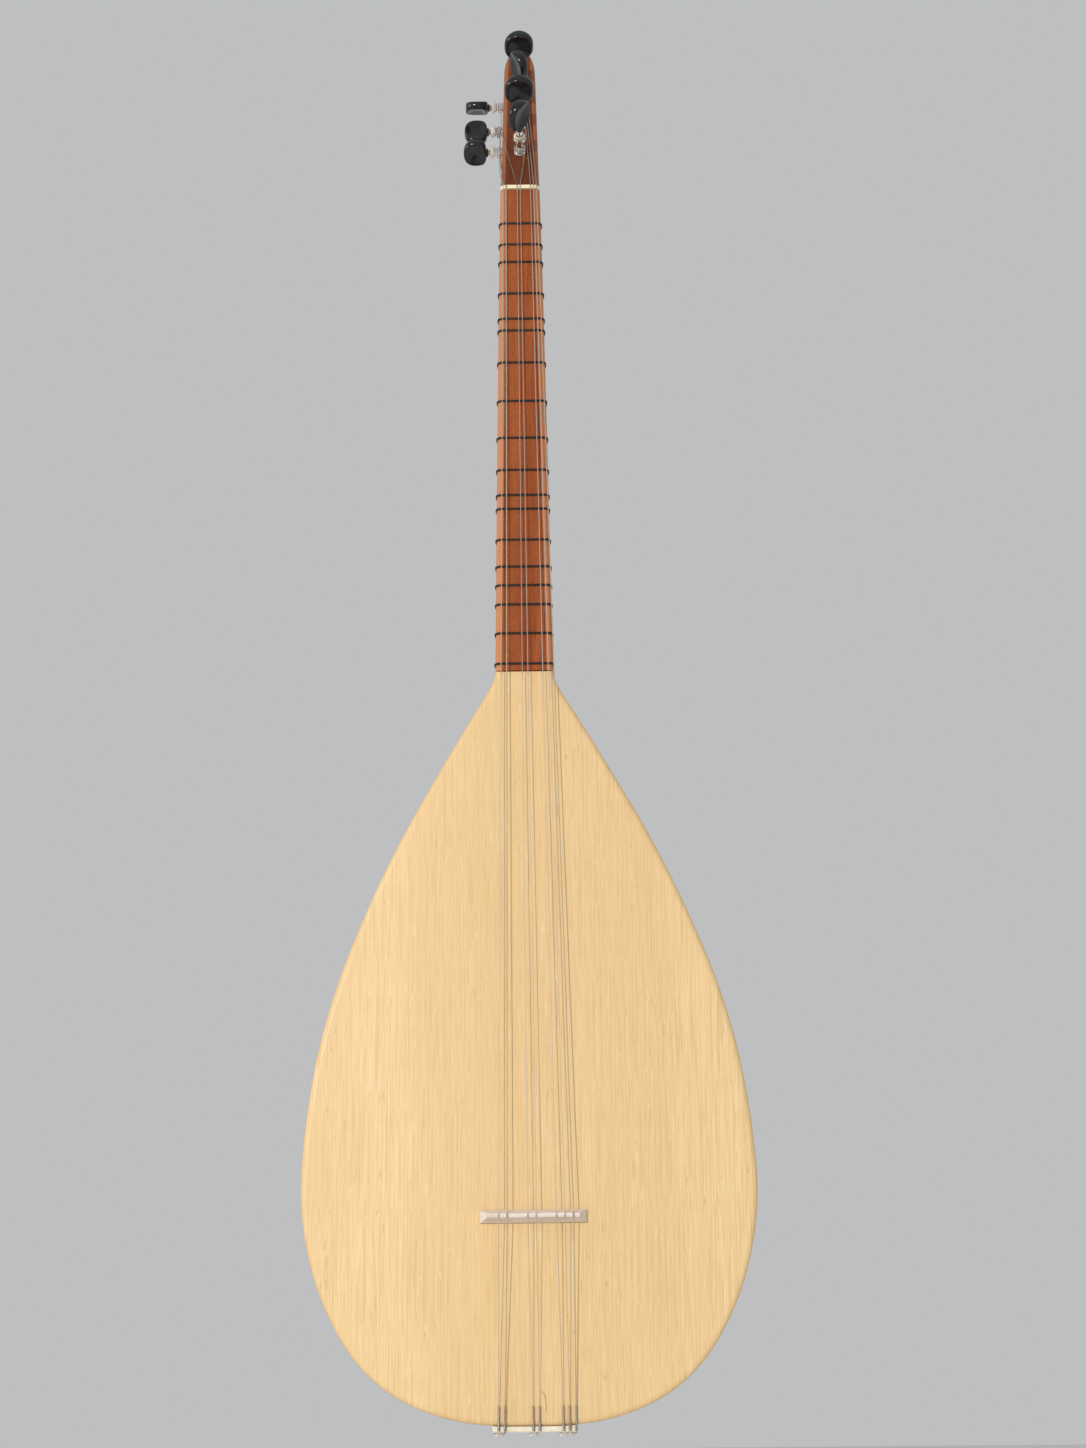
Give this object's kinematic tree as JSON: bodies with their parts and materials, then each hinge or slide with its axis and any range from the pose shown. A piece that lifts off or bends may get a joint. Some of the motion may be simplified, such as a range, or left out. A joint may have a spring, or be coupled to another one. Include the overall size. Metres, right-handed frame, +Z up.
{
  "type": "saz lute",
  "caption": "Long-necked saz lute with a pear-shaped staved bowl, flat soundboard, tied frets, paired strings over a loose bridge and turning tuners on a tilted head.",
  "frame": {"origin": "on the front of the neck at the nut's lower edge, where a wall hanger's yoke holds the instrument", "axes": "+Z runs up the neck towards the nut and head, the soundboard faces -Y, and +X is to the right seen from the front"},
  "size_m": [0.2636, 0.1746, 0.9003],
  "materials": {
    "spruce": "satin lacquered spruce",
    "mahogany": "lacquered red-brown wood",
    "walnut": "lacquered darker brown wood",
    "block_wood": "raw softwood",
    "dark_mahogany": "lacquered dark red-brown wood",
    "bone": "polished cream bone or its plastic substitute",
    "pale_wood": "bare pale hardwood",
    "nylon": "dark nylon line",
    "steel": "bright drawn steel wire",
    "chrome": "chrome plated",
    "cream_plastic": "cream moulded plastic",
    "black_plastic": "polished black plastic"
  },
  "bodies": {
    "instrument": {"soundboard": "spruce", "stave_1": "mahogany", "stave_2": "walnut", "stave_3": "mahogany", "stave_4": "walnut", "stave_5": "mahogany", "stave_6": "walnut", "stave_7": "mahogany", "tail_block": "block_wood", "neck": "mahogany", "head": "dark_mahogany", "nut": "bone", "bridge": "pale_wood", "tailpiece": "bone", "string_1": "steel", "string_2": "steel", "string_3": "steel", "string_4": "steel", "string_5": "steel", "string_6": "steel", "string_7": "steel"},
    "fret_01": {"fret_01": "nylon"},
    "fret_02": {"fret_02": "nylon"},
    "fret_03": {"fret_03": "nylon"},
    "fret_04": {"fret_04": "nylon"},
    "fret_05": {"fret_05": "nylon"},
    "fret_06": {"fret_06": "nylon"},
    "fret_07": {"fret_07": "nylon"},
    "fret_08": {"fret_08": "nylon"},
    "fret_09": {"fret_09": "nylon"},
    "fret_10": {"fret_10": "nylon"},
    "fret_11": {"fret_11": "nylon"},
    "fret_12": {"fret_12": "nylon"},
    "fret_13": {"fret_13": "nylon"},
    "fret_14": {"fret_14": "nylon"},
    "fret_15": {"fret_15": "nylon"},
    "fret_16": {"fret_16": "nylon"},
    "fret_17": {"fret_17": "nylon"},
    "fret_18": {"fret_18": "nylon"},
    "front_tuner_1": {"front_spindle_1": "chrome", "front_washer_1": "cream_plastic", "front_button_1": "black_plastic"},
    "front_tuner_2": {"front_spindle_2": "chrome", "front_washer_2": "cream_plastic", "front_button_2": "black_plastic"},
    "front_tuner_3": {"front_spindle_3": "chrome", "front_washer_3": "cream_plastic", "front_button_3": "black_plastic"},
    "front_tuner_4": {"front_spindle_4": "chrome", "front_washer_4": "cream_plastic", "front_button_4": "black_plastic"},
    "side_tuner_1": {"side_spindle_1": "chrome", "side_washer_1": "cream_plastic", "side_button_1": "black_plastic"},
    "side_tuner_2": {"side_spindle_2": "chrome", "side_washer_2": "cream_plastic", "side_button_2": "black_plastic"},
    "side_tuner_3": {"side_spindle_3": "chrome", "side_washer_3": "cream_plastic", "side_button_3": "black_plastic"}
  },
  "joints": [
    {"name": "fret_01_slide", "type": "slide", "parent": "instrument", "child": "fret_01", "axis": [0, 0, 1], "range_m": [-0.003, 0.003]},
    {"name": "fret_02_slide", "type": "slide", "parent": "instrument", "child": "fret_02", "axis": [0, 0, 1], "range_m": [-0.003, 0.003]},
    {"name": "fret_03_slide", "type": "slide", "parent": "instrument", "child": "fret_03", "axis": [0, 0, 1], "range_m": [-0.003, 0.003]},
    {"name": "fret_04_slide", "type": "slide", "parent": "instrument", "child": "fret_04", "axis": [0, 0, 1], "range_m": [-0.003, 0.003]},
    {"name": "fret_05_slide", "type": "slide", "parent": "instrument", "child": "fret_05", "axis": [0, 0, 1], "range_m": [-0.003, 0.003]},
    {"name": "fret_06_slide", "type": "slide", "parent": "instrument", "child": "fret_06", "axis": [0, 0, 1], "range_m": [-0.003, 0.003]},
    {"name": "fret_07_slide", "type": "slide", "parent": "instrument", "child": "fret_07", "axis": [0, 0, 1], "range_m": [-0.003, 0.003]},
    {"name": "fret_08_slide", "type": "slide", "parent": "instrument", "child": "fret_08", "axis": [0, 0, 1], "range_m": [-0.003, 0.003]},
    {"name": "fret_09_slide", "type": "slide", "parent": "instrument", "child": "fret_09", "axis": [0, 0, 1], "range_m": [-0.003, 0.003]},
    {"name": "fret_10_slide", "type": "slide", "parent": "instrument", "child": "fret_10", "axis": [0, 0, 1], "range_m": [-0.003, 0.003]},
    {"name": "fret_11_slide", "type": "slide", "parent": "instrument", "child": "fret_11", "axis": [0, 0, 1], "range_m": [-0.003, 0.003]},
    {"name": "fret_12_slide", "type": "slide", "parent": "instrument", "child": "fret_12", "axis": [0, 0, 1], "range_m": [-0.003, 0.003]},
    {"name": "fret_13_slide", "type": "slide", "parent": "instrument", "child": "fret_13", "axis": [0, 0, 1], "range_m": [-0.003, 0.003]},
    {"name": "fret_14_slide", "type": "slide", "parent": "instrument", "child": "fret_14", "axis": [0, 0, 1], "range_m": [-0.003, 0.003]},
    {"name": "fret_15_slide", "type": "slide", "parent": "instrument", "child": "fret_15", "axis": [0, 0, 1], "range_m": [-0.003, 0.003]},
    {"name": "fret_16_slide", "type": "slide", "parent": "instrument", "child": "fret_16", "axis": [0, 0, 1], "range_m": [-0.003, 0.003]},
    {"name": "fret_17_slide", "type": "slide", "parent": "instrument", "child": "fret_17", "axis": [0, 0, 1], "range_m": [-0.003, 0.003]},
    {"name": "fret_18_slide", "type": "slide", "parent": "instrument", "child": "fret_18", "axis": [0, 0, 1], "range_m": [-0.003, 0.003]},
    {"name": "front_tuner_1_turn", "type": "hinge", "parent": "instrument", "child": "front_tuner_1", "pos_m": [0, 0.01395, 0.03251], "axis": [0, -0.9063, 0.4226], "continuous": true},
    {"name": "front_tuner_2_turn", "type": "hinge", "parent": "instrument", "child": "front_tuner_2", "pos_m": [0, 0.02536, 0.05698], "axis": [0, -0.9063, 0.4226], "continuous": true},
    {"name": "front_tuner_3_turn", "type": "hinge", "parent": "instrument", "child": "front_tuner_3", "pos_m": [0, 0.03613, 0.08009], "axis": [0, -0.9063, 0.4226], "continuous": true},
    {"name": "front_tuner_4_turn", "type": "hinge", "parent": "instrument", "child": "front_tuner_4", "pos_m": [0, 0.04564, 0.10048], "axis": [0, -0.9063, 0.4226], "continuous": true},
    {"name": "side_tuner_1_turn", "type": "hinge", "parent": "instrument", "child": "side_tuner_1", "pos_m": [-0.01181, 0.03055, 0.04209], "axis": [-1, 0, 0], "continuous": true},
    {"name": "side_tuner_2_turn", "type": "hinge", "parent": "instrument", "child": "side_tuner_2", "pos_m": [-0.01146, 0.03976, 0.06185], "axis": [-1, 0, 0], "continuous": true},
    {"name": "side_tuner_3_turn", "type": "hinge", "parent": "instrument", "child": "side_tuner_3", "pos_m": [-0.01103, 0.05092, 0.08577], "axis": [-1, 0, 0], "continuous": true}
  ]
}
